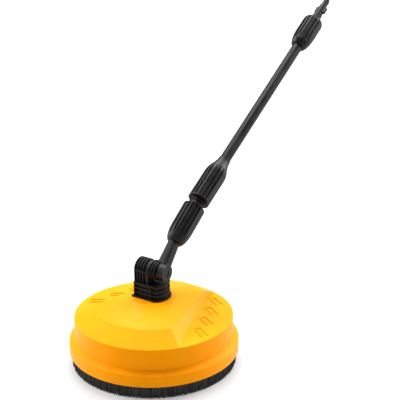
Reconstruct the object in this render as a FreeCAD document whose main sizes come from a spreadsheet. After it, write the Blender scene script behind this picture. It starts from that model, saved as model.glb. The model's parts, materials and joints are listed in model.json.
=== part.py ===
"""Surface cleaner for a pressure washer, as a parametric document of separate pieces.

Frame: millimetres, +Z up, origin on the deck's axis at the floor (bristle tips).
+X runs along the tilt pin, +Y points to the user, the way the lance leans.
Every driving size is a cell of the sheet "Sizes"; pieces are bound to those cells.
"""
import FreeCAD
import Part
import math
import os

import Sketcher

DOC = FreeCAD.newDocument("surface_cleaner")
SHEET = DOC.addObject("Spreadsheet::Sheet", "Sizes")
NODES = []
TURN = 360
TAPER_STEPS = 8


# ---------------------------------------------------------------- bound sizes
class Size:
    """A length or angle with its value and the sheet expression that gives it."""

    def __init__(self, value, text):
        self.value = value
        self.text = text

    def _join(self, other, sign, value):
        return Size(value, f"({self.text} {sign} {size_of(other).text})")

    def __add__(self, other):
        return self._join(other, "+", self.value + size_of(other).value)

    def __radd__(self, other):
        return size_of(other) + self

    def __sub__(self, other):
        return self._join(other, "-", self.value - size_of(other).value)

    def __rsub__(self, other):
        return size_of(other) - self

    def __mul__(self, other):
        return self._join(other, "*", self.value * size_of(other).value)

    def __rmul__(self, other):
        return size_of(other) * self

    def __truediv__(self, other):
        return self._join(other, "/", self.value / size_of(other).value)

    def __neg__(self):
        return Size(-self.value, f"(0 - {self.text})")


def size_of(thing):
    return thing if isinstance(thing, Size) else Size(float(thing), repr(float(thing)))


def sine(angle):
    angle = size_of(angle)
    return Size(math.sin(math.radians(angle.value)), f"sin({angle.text})")


def cosine(angle):
    angle = size_of(angle)
    return Size(math.cos(math.radians(angle.value)), f"cos({angle.text})")


def tangent(angle):
    return sine(angle) / cosine(angle)


class Sizes:
    """The sheet's cells, one attribute for each alias."""

    def __init__(self):
        self.rows = 0

    def section(self, title):
        self.rows += 1
        SHEET.set(f"A{self.rows}", f"# {title}")

    def add(self, alias, value, meaning):
        self.rows += 1
        SHEET.set(f"A{self.rows}", meaning)
        SHEET.set(f"B{self.rows}", str(value))
        SHEET.setAlias(f"B{self.rows}", alias)
        setattr(self, alias, Size(float(value), f"Sizes.{alias}"))


Z = Sizes()

Z.section("general fits")
Z.add("run_gap", 0.05, "radial gap of a running fit")
Z.add("body_gap", 0.8, "gap between pieces that pass each other")
Z.add("skin", 0.4, "depth by which fused forms sink into each other")

Z.section("deck")
Z.add("deck_radius", 140, "outer radius of the skirt")
Z.add("deck_wall", 3, "wall thickness of the deck")
Z.add("brush_drop", 22.4, "floor to the skirt's lower edge")
Z.add("skirt_rise", 18.6, "straight height of the skirt")
Z.add("shoulder_rise", 5.4, "height of the sloped shoulder")
Z.add("shoulder_step", 9.4, "skirt radius less wall radius")
Z.add("wall_rise", 35, "height of the upper wall")
Z.add("panel_rise", 9.5, "rise of the low side panels, rim to axis")
Z.add("band_rise", 18.1, "rise of the sloped band")
Z.add("band_step", 33.6, "plan width of the sloped band")
Z.add("crown_rise", 14, "rise of the plateau, band edge to crown")
Z.add("crown_radius", 36, "radius of the level crown")
Z.add("wedge_reach", 71.8, "deck axis to the foot line of the wedge's side")
Z.add("wedge_edge", 61.3, "deck axis to the top edge of the wedge's side")
Z.add("wedge_taper", 15.9, "mean angle of the wedge's sides to the Y axis")
Z.add("wedge_twist", 2.4, "turn of the foot line and of the top edge from that mean")
Z.add("wedge_slope", 53, "mean slope of the wedge's sides above the level")
Z.add("flank_slope", 29, "slope of the crown's flanks, top edge to crown")
Z.add("shoulder_share", 0.6, "part of an inset that the shoulder drops by")
Z.add("band_share", 0.3, "part of an inset that the band draws in by")
Z.add("wedge_foot", 3.4, "foot line above the rim of the wall")
Z.add("roof_bore", 14, "radius of the hole in the crown")
Z.add("rib_count", 8, "ribs under the roof")
Z.add("rib_wall", 2.4, "thickness of a rib")
Z.add("rib_start", 34, "inner end of the ribs, from the axis")
Z.add("rib_drop", 16, "depth of a rib below the rim of the wall")
Z.add("rib_turn", 0, "angle of the first rib to the X axis")

Z.section("embossed marks on the side panels")
Z.add("mark_count", 4, "marks on each side panel")
Z.add("mark_pitch", 38.8, "distance from mark to mark")
Z.add("mark_start", 89.8, "X of the first mark's corner")
Z.add("mark_front", -14.8, "Y of the first mark's corner")
Z.add("mark_line", 21.8, "angle of the row of marks to the Y axis")
Z.add("mark_turn", 30, "angle of a mark's legs below the X axis")
Z.add("mark_leg", 27, "length of a leg")
Z.add("mark_width", 13, "width of a mark over its legs")
Z.add("mark_line_width", 2.6, "width of the raised line")
Z.add("mark_relief", 1.2, "height of the raised line")

Z.section("brush ring")
Z.add("ring_width", 17, "radial width of the brush ring")
Z.add("ring_height", 7.6, "height of the brush ring")
Z.add("ring_fit", 0.2, "brush ring to the deck's wall")
Z.add("bristle_inset", 1.6, "bristles inside the brush ring's edge")
Z.add("bristle_width", 12, "radial width of the bristle band")
Z.add("bristle_seat", 2.5, "depth of the bristles in the ring")
Z.add("ring_screws", 8, "screws that hold the brush ring")
Z.add("ring_screw_radius", 2, "shank radius of these screws")
Z.add("ring_screw_head", 3.8, "head radius of these screws")
Z.add("lug_radius", 5.5, "radius of the screw bosses")
Z.add("lug_height", 16, "height of the screw bosses")
Z.add("ring_screw_length", 14, "length of these screws under the head")
Z.add("ring_head_height", 2, "height of their heads")

Z.section("swivel base")
Z.add("base_radius", 27.5, "radius of the base")
Z.add("base_front", 21, "deck axis to the base's flat front")
Z.add("base_rise", 24.5, "height of the base")
Z.add("base_skin", 3.2, "ribs' height over the base's core")
Z.add("flange_margin", 2.2, "flange beyond the ribs")
Z.add("plate_count", 4, "level ribs of the base, top plate included")
Z.add("plate_wall", 1.7, "thickness of a level rib")
Z.add("gasket_wall", 1.2, "thickness of the gasket")
Z.add("base_spigot", 13.5, "radius of the threaded spigot")
Z.add("spigot_drop", 20, "length of the spigot below the base")
Z.add("nut_radius", 18.5, "radius of the clamping nut")
Z.add("nut_height", 8, "height of the clamping nut")
Z.add("corner_rib", 8.5, "X of the base's corner rib")
Z.add("left_rib", 24, "distance of the base's other front rib from the Y axis")
Z.add("base_screw_radius", 2, "shank radius of the base screws")
Z.add("base_screw_ring", 20.4, "pitch radius of the base screws")
Z.add("base_screw_turn", 30, "angle of the base screws to the X axis")
Z.add("base_screw_length", 14, "length of the base screws under the head")
Z.add("base_screw_head", 3.6, "head radius of the base screws")

Z.section("tilt joint")
Z.add("pivot_rise", 19.6, "base's top to the tilt axis")
Z.add("block_end", 25.5, "tilt block's outer end from the deck axis")
Z.add("block_inner", 0.6, "tilt block's inner face, X")
Z.add("fin_radius", 17.4, "radius of the fins")
Z.add("core_radius", 14.2, "radius of the core between the fins")
Z.add("fin_wall", 1.8, "thickness of a fin")
Z.add("fin_count", 4, "fins of the tilt block")
Z.add("cheek_wall", 4.2, "thickness of the plain cheek")
Z.add("cheek_radius", 15.8, "radius of the plain cheek")
Z.add("barrel_start", 2.2, "barrel's inner face, X")
Z.add("barrel_end", 28.5, "barrel's outer face, X")
Z.add("ring_fins", 3, "ring fins of the barrel")
Z.add("drum_start", 17, "start of the plain drum, X")
Z.add("drum_radius", 13.8, "radius of the plain drum")
Z.add("pin_radius", 8, "radius of the tilt pin")
Z.add("pin_wall", 3, "wall of the hollow tilt pin")
Z.add("pin_depth", 20, "depth of the tilt pin in the block")
Z.add("pin_end", 22.5, "tilt pin's outer end, X")
Z.add("ring_cord", 1, "cord radius of the O-rings")
Z.add("ring_spread", 6, "tilt pin's O-rings to the arm's axis")
Z.add("cap_radius", 11, "radius of the end cap")
Z.add("cap_seat", 22, "floor of the barrel's recess, X")
Z.add("cap_wall", 2.2, "thickness of the end cap")
Z.add("cap_recess", 6, "half width over corners of the cap's hexagon")
Z.add("screw_head_radius", 10, "radius of the retaining screw's head")
Z.add("screw_head_height", 3, "height of the retaining screw's head")
Z.add("washer_wall", 1, "thickness of the thrust washer")

Z.section("arm")
Z.add("arm_offset", 9, "X of the arm's and lance's axes")
Z.add("arm_lean", 53.8, "arm's lean from upright, at rest")
Z.add("lance_lean", 57.8, "lance's lean from upright, at rest")
Z.add("arm_length", 138.6, "tilt axis to the bend at the neck")
Z.add("stem_root_offset", 15.5, "X of the stem's root")
Z.add("stem_root_radius", 12, "radius of the stem's root")
Z.add("stem_radius", 9.8, "radius of the stem under the grip")
Z.add("stem_length", 57, "tilt axis to the grip's foot")
Z.add("stem_root_share", 0.1, "part of the stem's length at which its root starts")
Z.add("stem_waist_share", 0.55, "part of the stem's length at which it is half tapered")
Z.add("grip_radius", 19.2, "radius of the grips and the collar")
Z.add("grip_taper", 30, "length of the arm grip's taper")
Z.add("grip_end", 8, "neck bend to the grip's top face")
Z.add("water_radius", 3.5, "radius of the water way")

Z.section("grooves of the grips")
Z.add("groove_count", 7, "grooves on each half of a grip")
Z.add("groove_spread", 126, "angle between the outermost grooves")
Z.add("groove_width", 3, "width of a groove")
Z.add("groove_depth", 2.4, "depth of a groove")
Z.add("land_depth", 0.9, "depth of the flat lands")

Z.section("neck and collar")
Z.add("neck_ring_radius", 13.9, "radius of the neck's rings")
Z.add("neck_core_radius", 12.2, "radius of the neck between the rings")
Z.add("neck_rings", 3, "rings on the neck")
Z.add("neck_ring_wall", 2.2, "thickness of a ring")
Z.add("neck_start", -6, "neck's foot, from the bend")
Z.add("neck_shank", 18, "depth of the neck's shank in the grip")
Z.add("shank_radius", 9, "radius of the neck's shank")
Z.add("spigot_radius", 12, "radius of the coupling spigot")
Z.add("spigot_end", 50, "coupling spigot's end, from the bend")
Z.add("collar_start", 7.6, "collar's rim, from the bend")
Z.add("collar_shoulder", 66, "end of the collar's straight part")
Z.add("collar_end", 102, "collar's slim end, from the bend")
Z.add("collar_slim_radius", 10.8, "radius of the collar's slim end")
Z.add("mouth_radius", 15.6, "radius of the collar's mouth")
Z.add("mouth_depth", 15, "depth of the collar's mouth")

Z.section("lance")
Z.add("tube_radius", 9.5, "radius of the lance tube")
Z.add("tube_wall", 1.6, "wall of the lance tube")
Z.add("core_tube_radius", 5, "radius of the pressure tube inside")
Z.add("tube_start", 58, "tube's lower end, from the bend")
Z.add("tube_end", 455, "tube's upper end, from the bend")
Z.add("top_grip_start", 399, "upper grip's foot, from the bend")
Z.add("top_grip_taper", 34, "length of the upper grip's taper")
Z.add("top_grip_end", 474, "upper grip's top, from the bend")
Z.add("top_grip_round", 10, "length of the upper grip's rounded top")
Z.add("top_ring_radius", 13.4, "radius of the end ring")
Z.add("top_ring_wall", 2.4, "thickness of the end ring")

Z.section("inlet nipple")
Z.add("nipple_neck_radius", 8.2, "radius of the nipple's neck")
Z.add("nipple_neck", 17, "length of the nipple's neck")
Z.add("nipple_body_radius", 7.4, "radius of the nipple's body")
Z.add("nipple_body", 22, "length of the nipple's body")
Z.add("lug_reach", 10.4, "reach of the bayonet lugs")
Z.add("lug_length", 13, "length of the bayonet lugs")
Z.add("lug_wall", 6, "width of the bayonet lugs")
Z.add("head_radius", 6, "radius of the sealing head")
Z.add("head_length", 16, "length of the sealing head")
Z.add("nose_length", 6, "length of the nipple's nose")
Z.add("nose_radius", 4.2, "radius of the nipple's nose")
Z.add("filter_radius", 3, "outer radius of the inlet filter")
Z.add("head_ring_cord", 1.2, "cord radius of the head's O-ring")

Z.section("rotor")
Z.add("spindle_radius", 7.5, "radius of the spindle")
Z.add("spindle_bottom", 44, "height of the spindle's lower end")
Z.add("spindle_seat", 8, "depth of the spindle in the base")
Z.add("shoulder_radius", 9.4, "radius of the spindle's shoulder")
Z.add("bearing_radius", 16, "outer radius of a ball bearing")
Z.add("bearing_height", 9, "width of a ball bearing")
Z.add("race_wall", 2.2, "wall of a bearing ring")
Z.add("ball_count", 9, "balls in a bearing")
Z.add("upper_bearing", 79, "height of the upper bearing's foot")
Z.add("lower_bearing", 62, "height of the lower bearing's foot")
Z.add("circlip_wall", 1.2, "thickness of the retaining ring")
Z.add("circlip_radius", 9.2, "radius of the retaining ring")
Z.add("seal_height", 4, "height of the shaft seal")
Z.add("hub_radius", 24, "radius of the rotor hub")
Z.add("hub_bottom", 34, "height of the rotor hub's lower end")
Z.add("cap_height", 4, "thickness of the hub's cap")
Z.add("arm_height", 48, "height of the spray arms' axis")
Z.add("arm_tube_radius", 4, "radius of a spray arm")
Z.add("arm_tube_bore", 2.4, "bore radius of a spray arm")
Z.add("arm_tube_start", 17, "spray arm's inner end, from the axis")
Z.add("arm_tube_end", 100, "spray arm's outer end, from the axis")
Z.add("rotor_turn", 25, "rotor's angle from the X axis, at rest")
Z.add("holder_radius", 7, "radius of a nozzle holder")
Z.add("holder_height", 18, "height of a nozzle holder")
Z.add("nozzle_radius", 4, "radius of a nozzle tip")
Z.add("nozzle_drop", 5, "nozzle tip below its holder")
Z.add("nozzle_bore", 0.7, "radius of the spray orifice")
Z.add("cap_screws", 3, "screws of the hub's cap")
Z.add("cap_screw_ring", 18.2, "pitch radius of the cap's screws")
Z.add("cap_screw_radius", 1.5, "shank radius of the cap's screws")

DOC.recompute()


# ---------------------------------------------------------------- heights and places
skirt_top = Z.brush_drop + Z.skirt_rise
wall_foot = skirt_top + Z.shoulder_rise
wall_radius = Z.deck_radius - Z.shoulder_step
wall_top = wall_foot + Z.wall_rise
band_top = wall_top + Z.band_rise
band_radius = wall_radius - Z.band_step
crown_top = band_top + Z.crown_rise
foot_height = wall_top + Z.wedge_foot
base_foot = crown_top + Z.gasket_wall
base_top = base_foot + Z.base_rise
pivot_height = base_top + Z.pivot_rise
bend_y = Z.arm_length * sine(Z.arm_lean)
bend_height = pivot_height + Z.arm_length * cosine(Z.arm_lean)
ring_radius = Z.deck_radius - Z.deck_wall - Z.ring_fit
ring_inner = ring_radius - Z.ring_width
ring_middle = ring_radius - Z.ring_width / 2
ring_top = Z.brush_drop + Z.ring_height
seat_top = Z.brush_drop + Z.bristle_seat
ring_screw_top = seat_top + Z.ring_screw_length
roof_inside = crown_top - Z.deck_wall
base_screw_top = roof_inside + Z.base_screw_length
spigot_foot = base_foot - Z.spigot_drop
spindle_top = base_foot + Z.spindle_seat
hub_top = Z.upper_bearing + Z.bearing_height
hub_floor = Z.hub_bottom + Z.cap_height
cap_screw_length = Z.cap_height * 3
ring_seat = Z.spigot_end - Z.ring_cord * 6
FAR = 400
CORNERS = [(1, 1), (-1, 1), (-1, -1), (1, -1)]
SIDES = (1, -1)


def spots(count):
    """The whole number of repeats that a cell holds."""
    return range(round(count.value))


def ring_place(number):
    """X and Y of a brush ring screw."""
    angle = (size_of(number) + 0.5) * (size_of(TURN) / Z.ring_screws)
    return ring_middle * cosine(angle), ring_middle * sine(angle)


def base_screw_place(side_x, side_y):
    """X and Y of the base screw on one side of X and of Y."""
    reach = Z.base_screw_ring * cosine(Z.base_screw_turn)
    depth = Z.base_screw_ring * sine(Z.base_screw_turn)
    return reach * side_x, depth * side_y


def cap_screw_place(number):
    """X and Y of a screw of the hub's cap."""
    angle = size_of(TURN) / Z.cap_screws * number + Z.rotor_turn + 90
    return Z.cap_screw_ring * cosine(angle), Z.cap_screw_ring * sine(angle)


# ---------------------------------------------------------------- document helpers
def keep(piece, label):
    """Name a finished sub-part: its Label is its node and its file's name."""
    piece.Label = label
    NODES.append(piece)
    return piece


def bind(piece, **sizes):
    """Bind properties of a piece to the sheet; a dot in a name is written as two underscores."""
    for name, amount in sizes.items():
        piece.setExpression(name.replace("__", "."), size_of(amount).text)


def place(piece, x=0, y=0, z=0, axis=(0, 0, 1), turn=0):
    """Bind a piece's Placement: moved to x, y, z and turned about an axis of its own."""
    piece.Placement = FreeCAD.Placement(FreeCAD.Vector(0, 0, 0),
                                        FreeCAD.Rotation(FreeCAD.Vector(*axis), 1))
    bind(piece, Placement__Base__x=x, Placement__Base__y=y, Placement__Base__z=z,
         Placement__Rotation__Angle=turn)
    return piece


def swell(low_radius, high_radius, start, length, steps=TAPER_STEPS):
    """Corners of a smooth S-shaped taper from one radius to another along Z."""
    corners = []
    for step in range(steps + 1):
        share = step / steps
        rise = (1 - math.cos(math.pi * share)) / 2
        corners.append((low_radius + (size_of(high_radius) - low_radius) * rise,
                        start + size_of(length) * share))
    return corners


def dome(low_radius, high_radius, start, length, steps=TAPER_STEPS):
    """Corners of an elliptic rounding that starts steep and ends level with the piece."""
    corners = []
    for step in range(steps + 1):
        share = step / steps
        rise = math.sin(math.pi / 2 * share)
        run = 1 - math.cos(math.pi / 2 * share)
        corners.append((low_radius + (size_of(high_radius) - low_radius) * rise,
                        start + size_of(length) * run))
    return corners


def at_arm(piece):
    """Set a piece in the arm's frame: origin on the tilt axis, +Z up the arm."""
    return place(piece, z=pivot_height, axis=(1, 0, 0), turn=-Z.arm_lean)


def at_lance(piece):
    """Set a piece in the lance's frame: origin at the neck's bend, +Z up the lance."""
    return place(piece, Z.arm_offset, bend_y, bend_height, (1, 0, 0), -Z.lance_lean)


def body(name):
    made = DOC.addObject("PartDesign::Body", name)
    made.AllowCompound = True
    return made


def origin_part(made, role):
    return next(part for part in made.Origin.OriginFeatures if part.Role == role)


def sketch(made, role="XY_Plane", lift=0):
    """A sketch on one of the body's own origin planes, lifted along its normal."""
    drawn = made.newObject("Sketcher::SketchObject", "Sketch")
    drawn.AttachmentSupport = [(origin_part(made, role), "")]
    drawn.MapMode = "FlatFace"
    bind(drawn, AttachmentOffset__Base__z=lift)
    return drawn


def fix_point(drawn, line, corner):
    """Hold the start of a line at a corner whose two coordinates are sizes."""
    for kind, amount in zip(("DistanceX", "DistanceY"), corner):
        amount = size_of(amount)
        row = drawn.addConstraint(Sketcher.Constraint(kind, -1, 1, line, 1, amount.value))
        drawn.setExpression(f"Constraints[{row}]", amount.text)


def outline(drawn, corners):
    """A closed outline of straight lines through the corners."""
    spots = [FreeCAD.Vector(size_of(x).value, size_of(y).value, 0) for x, y in corners]
    first = drawn.GeometryCount
    count = len(spots)
    for step in range(count):
        drawn.addGeometry(Part.LineSegment(spots[step], spots[(step + 1) % count]), False)
    for step in range(count):
        drawn.addConstraint(Sketcher.Constraint("Coincident", first + step, 2,
                                                first + (step + 1) % count, 1))
    for step, corner in enumerate(corners):
        fix_point(drawn, first + step, corner)
    return drawn


def rectangle(drawn, low_x, low_y, high_x, high_y):
    return outline(drawn, [(low_x, low_y), (high_x, low_y), (high_x, high_y), (low_x, high_y)])


def circle(drawn, x, y, radius):
    x, y, radius = size_of(x), size_of(y), size_of(radius)
    row = drawn.addGeometry(Part.Circle(FreeCAD.Vector(x.value, y.value, 0),
                                        FreeCAD.Vector(0, 0, 1), radius.value), False)
    bound = [("Radius", (row, radius.value), radius),
             ("DistanceX", (-1, 1, row, 3, x.value), x),
             ("DistanceY", (-1, 1, row, 3, y.value), y)]
    for kind, ends, amount in bound:
        number = drawn.addConstraint(Sketcher.Constraint(kind, *ends))
        drawn.setExpression(f"Constraints[{number}]", amount.text)
    return drawn


def revolve(made, corners, kind="PartDesign::Revolution", role="XZ_Plane", axis="V_Axis"):
    """A full turn of an outline of (radius, height) corners about the body's Z axis."""
    drawn = outline(sketch(made, role), corners)
    turned = made.newObject(kind, "Turned")
    turned.Profile = drawn
    turned.ReferenceAxis = (drawn, [axis])
    turned.Angle = TURN
    made.Tip = turned
    return turned


def extrude(made, drawn, length, kind="PartDesign::Pad", both=False, back=False):
    grown = made.newObject(kind, "Grown")
    grown.Profile = drawn
    bind(grown, Length=length)
    grown.Midplane = both
    grown.Reversed = back
    made.Tip = grown
    return grown


def around(made, feature, count, spread=TURN):
    """Repeat a feature about the body's Z axis; a spread under a full turn has both ends."""
    ring = made.newObject("PartDesign::PolarPattern", "Around")
    ring.Originals = [feature]
    ring.Axis = (origin_part(made, "Z_Axis"), [""])
    bind(ring, Occurrences=count, Angle=spread)
    made.Tip = ring
    return ring


def turned(label, corners):
    """A node that is one turned piece about its own Z axis."""
    made = body(label)
    revolve(made, corners)
    return keep(made, label)


def part(kind, name, **sizes):
    """A Part primitive with its sizes bound."""
    made = DOC.addObject(f"Part::{kind}", name)
    bind(made, **sizes)
    return made


def box(name, low, high, turn=0):
    """A box from its low to its high corner, turned about the Z axis through the origin."""
    spans = [size_of(end) - size_of(start) for start, end in zip(low, high)]
    made = part("Box", name, Length=spans[0], Width=spans[1], Height=spans[2])
    low = [size_of(amount) for amount in low]
    spot_x = low[0] * cosine(turn) - low[1] * sine(turn)
    spot_y = low[0] * sine(turn) + low[1] * cosine(turn)
    return place(made, spot_x, spot_y, low[2], turn=turn)


def drum(name, radius, height, x=0, y=0, z=0):
    """An upright cylinder."""
    return place(part("Cylinder", name, Radius=radius, Height=height), x, y, z)


def cross_drum(name, radius, start, end, y=0, z=0):
    """A cylinder along +X, from one X to another."""
    length = size_of(end) - start
    return place(part("Cylinder", name, Radius=radius, Height=length), start, y, z, (0, 1, 0), 90)


def fuse(name, shapes):
    made = DOC.addObject("Part::MultiFuse", name)
    made.Shapes = shapes
    return made


def cut(name, base, tool):
    made = DOC.addObject("Part::Cut", name)
    made.Base = base
    made.Tool = tool
    return made


def common(name, first, second):
    made = DOC.addObject("Part::Common", name)
    made.Base = first
    made.Tool = second
    return made


def group(name, shapes):
    made = DOC.addObject("Part::Compound", name)
    made.Links = shapes
    return made


# ---------------------------------------------------------------- deck
def deck_form(name, inset, foot):
    """The deck's closed form, inset from its outer faces, from a foot height upwards."""
    inset = size_of(inset)
    shell = body(name + "_dome")
    revolve(shell, [(0, foot),
                    (Z.deck_radius - inset, foot),
                    (Z.deck_radius - inset, skirt_top - inset * Z.shoulder_share),
                    (wall_radius - inset, wall_foot - inset * Z.shoulder_share),
                    (wall_radius - inset, wall_top - inset),
                    (band_radius - inset * Z.band_share, band_top - inset),
                    (Z.crown_radius, crown_top - inset),
                    (0, crown_top - inset)])
    fall = Z.panel_rise / wall_radius
    above = body(name + "_above")
    revolve(above, [(0, wall_top + Z.panel_rise - inset),
                    (FAR, wall_top + Z.panel_rise - inset - fall * FAR),
                    (FAR, FAR),
                    (0, FAR)])
    form = shell
    for side in SIDES:
        side_cut = common(name + "_side", copy_of(above), wedge_side(name, inset, side))
        form = cut(name, form, side_cut)
        form = cut(name, form, wedge_flank(name, inset, side))
    return form


def wedge_side(name, inset, side):
    """What lies outside one twisted side of the wedge, from its foot line to its top edge."""
    made = body(name + "_wedge")
    push = inset * sine(Z.wedge_slope)
    sink = inset * cosine(Z.wedge_slope)
    foot = foot_height - sink
    edge = band_top - sink
    profiles = []
    for end in SIDES:
        swing = wall_radius * tangent(Z.wedge_twist) * end
        foot_x = Z.wedge_reach - push + swing
        edge_x = Z.wedge_edge - push - swing
        lean = foot_x - edge_x
        corners = [(edge_x - lean, edge + edge - foot),
                   (foot_x + lean, foot - edge + foot),
                   (FAR, foot - edge + foot),
                   (FAR, edge + edge - foot)]
        profile = sketch(made, "XZ_Plane", wall_radius * end)
        profiles.append(outline(profile, [(size_of(x) * side, z) for x, z in corners]))
    loft = made.newObject("PartDesign::AdditiveLoft", "Twisted")
    loft.Profile = profiles[0]
    loft.Sections = profiles[1:]
    loft.Ruled = True
    made.Tip = loft
    return place(made, turn=Z.wedge_taper * side)


def wedge_flank(name, inset, side):
    """What lies above the flank between the crown and the top edge of one side."""
    made = body(name + "_flank")
    edge_x = Z.wedge_edge * cosine(Z.wedge_twist)
    edge = band_top - inset
    rise = edge_x * tangent(Z.flank_slope)
    corners = [(edge_x, edge), (0, edge + rise), (0, FAR), (edge_x, FAR)]
    drawn = outline(sketch(made, "XZ_Plane"), [(size_of(x) * side, z) for x, z in corners])
    extrude(made, drawn, 2 * FAR, both=True)
    return place(made, turn=(Z.wedge_taper - Z.wedge_twist) * side)


def copy_of(made):
    """A second use of a form in another boolean."""
    used = DOC.addObject("Part::Compound", made.Name + "_use")
    used.Links = [made]
    return used


def mark_form(side, number):
    """One embossed hook: two legs and the bridge at their inner ends."""
    made = body("mark")
    width = Z.mark_width
    line = Z.mark_line_width
    leg = Z.mark_leg
    drawn = outline(sketch(made), [(0, 0), (leg * side, 0), (leg * side, line),
                                   (line * side, line), (line * side, width - line),
                                   (leg * side, width - line), (leg * side, width), (0, width)])
    extrude(made, drawn, crown_top)
    along = Z.mark_pitch * number
    x = (Z.mark_start - along * sine(Z.mark_line)) * side
    y = Z.mark_front + along * cosine(Z.mark_line)
    return place(made, x, y, 0, turn=-Z.mark_turn * side)


def deck_shell():
    outer = deck_form("deck_outer", 0, Z.brush_drop)
    inner = deck_form("deck_inner", Z.deck_wall, Z.brush_drop - Z.skin)
    marks = group("marks", [mark_form(side, number) for side in SIDES
                            for number in spots(Z.mark_count)])
    fall = Z.panel_rise / wall_radius
    lifted = body("lifted_panel")
    top = wall_top + Z.panel_rise + Z.mark_relief
    sink = top - Z.mark_relief - Z.deck_wall / 2
    rim = wall_radius - Z.deck_wall * 2
    revolve(lifted, [(0, sink), (rim, sink - fall * rim), (rim, top - fall * rim), (0, top)])
    relief = common("relief", marks, lifted)
    rib_low = (Z.rib_start, -Z.rib_wall / 2, wall_top - Z.rib_drop)
    rib_high = (wall_radius, Z.rib_wall / 2, crown_top)
    rib_step = size_of(TURN) / Z.rib_count
    ribs = [box("rib", rib_low, rib_high, turn=Z.rib_turn + rib_step * number)
            for number in spots(Z.rib_count)]
    lugs = [drum("lug", Z.lug_radius, Z.lug_height, *ring_place(number), ring_top)
            for number in spots(Z.ring_screws)]
    inside = common("inside", fuse("ribs_and_lugs", ribs + lugs), copy_of(outer))
    shell = cut("deck_hollow", outer, inner)
    solid = fuse("deck_solid", [shell, relief, inside])
    holes = [drum("roof_hole", Z.roof_bore, FAR, z=skirt_top)]
    holes += [drum("base_screw_hole", Z.base_screw_radius, FAR, *base_screw_place(*corner),
                   skirt_top) for corner in CORNERS]
    holes += [drum("ring_screw_hole", Z.ring_screw_radius, ring_screw_top - ring_top,
                   *ring_place(number), ring_top) for number in spots(Z.ring_screws)]
    keep(cut("deck", solid, group("deck_holes", holes)), "deck_shell")


# ---------------------------------------------------------------- brush
def brush():
    carrier = body("ring_form")
    seat_outer = ring_radius - Z.bristle_inset
    seat_inner = seat_outer - Z.bristle_width
    revolve(carrier, [(ring_inner, Z.brush_drop), (seat_inner, Z.brush_drop),
                      (seat_inner, seat_top), (seat_outer, seat_top),
                      (seat_outer, Z.brush_drop), (ring_radius, Z.brush_drop),
                      (ring_radius, ring_top), (ring_inner, ring_top)])
    holes = [drum("ring_hole", Z.ring_screw_radius, Z.ring_height, *ring_place(number),
                  Z.brush_drop) for number in spots(Z.ring_screws)]
    keep(cut("brush_ring_cut", carrier, group("ring_holes", holes)), "brush_ring")
    band = body("bristles")
    revolve(band, [(seat_inner, 0), (seat_outer, 0), (seat_outer, seat_top),
                   (seat_inner, seat_top)])
    heads = [drum("head_room", Z.ring_screw_head + Z.ring_fit, Z.bristle_seat * 2,
                  *ring_place(number), seat_top - Z.bristle_seat * 2)
             for number in spots(Z.ring_screws)]
    keep(cut("bristles_cut", band, group("head_rooms", heads)), "brush_bristles")
    head = Z.ring_head_height
    keep(group("ring_screws", [fuse("ring_screw", [
        drum("shank", Z.ring_screw_radius, Z.ring_screw_length, *ring_place(number), seat_top),
        drum("head", Z.ring_screw_head, head, *ring_place(number), seat_top - head)])
        for number in spots(Z.ring_screws)]), "brush_screws")


# ---------------------------------------------------------------- swivel base
def base_plate(name, margin, low, high):
    """A level slice of the base: a disc and the tilt block's footing, with a flat front."""
    rise = high - size_of(low)
    disc = drum(name + "_disc", Z.base_radius + margin, rise, z=low)
    footing = box(name + "_footing", (-Z.block_end - margin, -Z.base_front - margin, low),
                  (0, Z.base_front + margin, high))
    front = box(name + "_front", (-FAR, -Z.base_front - margin, low), (FAR, FAR, high))
    return common(name, fuse(name + "_outline", [disc, footing]), front)


def arch(name, radius, start, end):
    """An upright slab with a round top about the tilt axis, from one X to another."""
    top = cross_drum(name + "_top", radius, start, end, z=pivot_height)
    foot = box(name + "_foot", (start, -radius, base_top - Z.skin), (end, radius, pivot_height))
    return fuse(name, [top, foot])


def swivel_base():
    core = base_plate("base_core", -Z.base_skin, base_foot, base_top)
    plates = [base_plate("flange", Z.flange_margin, base_foot, base_foot + Z.plate_wall)]
    pitch = (base_top - base_foot - Z.plate_wall) / (Z.plate_count - 1)
    for number in spots(Z.plate_count - 1):
        low = base_foot + pitch * (number + 1)
        plates.append(base_plate("plate", size_of(0), low, low + Z.plate_wall))
    ribs = [box("front_rib", (x, -Z.base_front, base_foot), (x + Z.plate_wall, 0, base_top))
            for x in (-Z.left_rib, Z.corner_rib)]
    inner = Z.block_inner
    block = arch("block_core", Z.core_radius, -Z.block_end, inner)
    cheek = arch("cheek", Z.cheek_radius, inner - Z.cheek_wall, inner)
    fin_pitch = (Z.block_end + inner - Z.cheek_wall) / Z.fin_count
    fins = [arch("fin", Z.fin_radius, fin_pitch * number - Z.block_end,
                 fin_pitch * number - Z.block_end + Z.fin_wall) for number in spots(Z.fin_count)]
    half = Z.fin_wall / 2
    belt = box("belt", (-Z.block_end, -Z.fin_radius, pivot_height - half),
               (inner - half, Z.fin_radius, pivot_height + half))
    ridge = box("ridge", (-Z.block_end, -half, pivot_height),
                (inner - half, half, pivot_height + Z.fin_radius - half))
    spigot = drum("base_spigot", Z.base_spigot, Z.spigot_drop + Z.skin, z=spigot_foot)
    solid = fuse("base_solid", [core, block, cheek, belt, ridge, spigot] + plates + ribs + fins)
    holes = [drum("spindle_seat", Z.spindle_radius, spindle_top - spigot_foot, z=spigot_foot),
             drum("rise_bore", Z.water_radius, pivot_height - spigot_foot, z=spigot_foot),
             cross_drum("pin_seat", Z.pin_radius, -Z.pin_depth, FAR, z=pivot_height)]
    holes += [drum("base_screw_bore", Z.base_screw_radius, base_screw_top - base_foot,
                   *base_screw_place(*corner), base_foot) for corner in CORNERS]
    keep(cut("swivel_base", solid, group("base_holes", holes)), "swivel_base")


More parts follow.
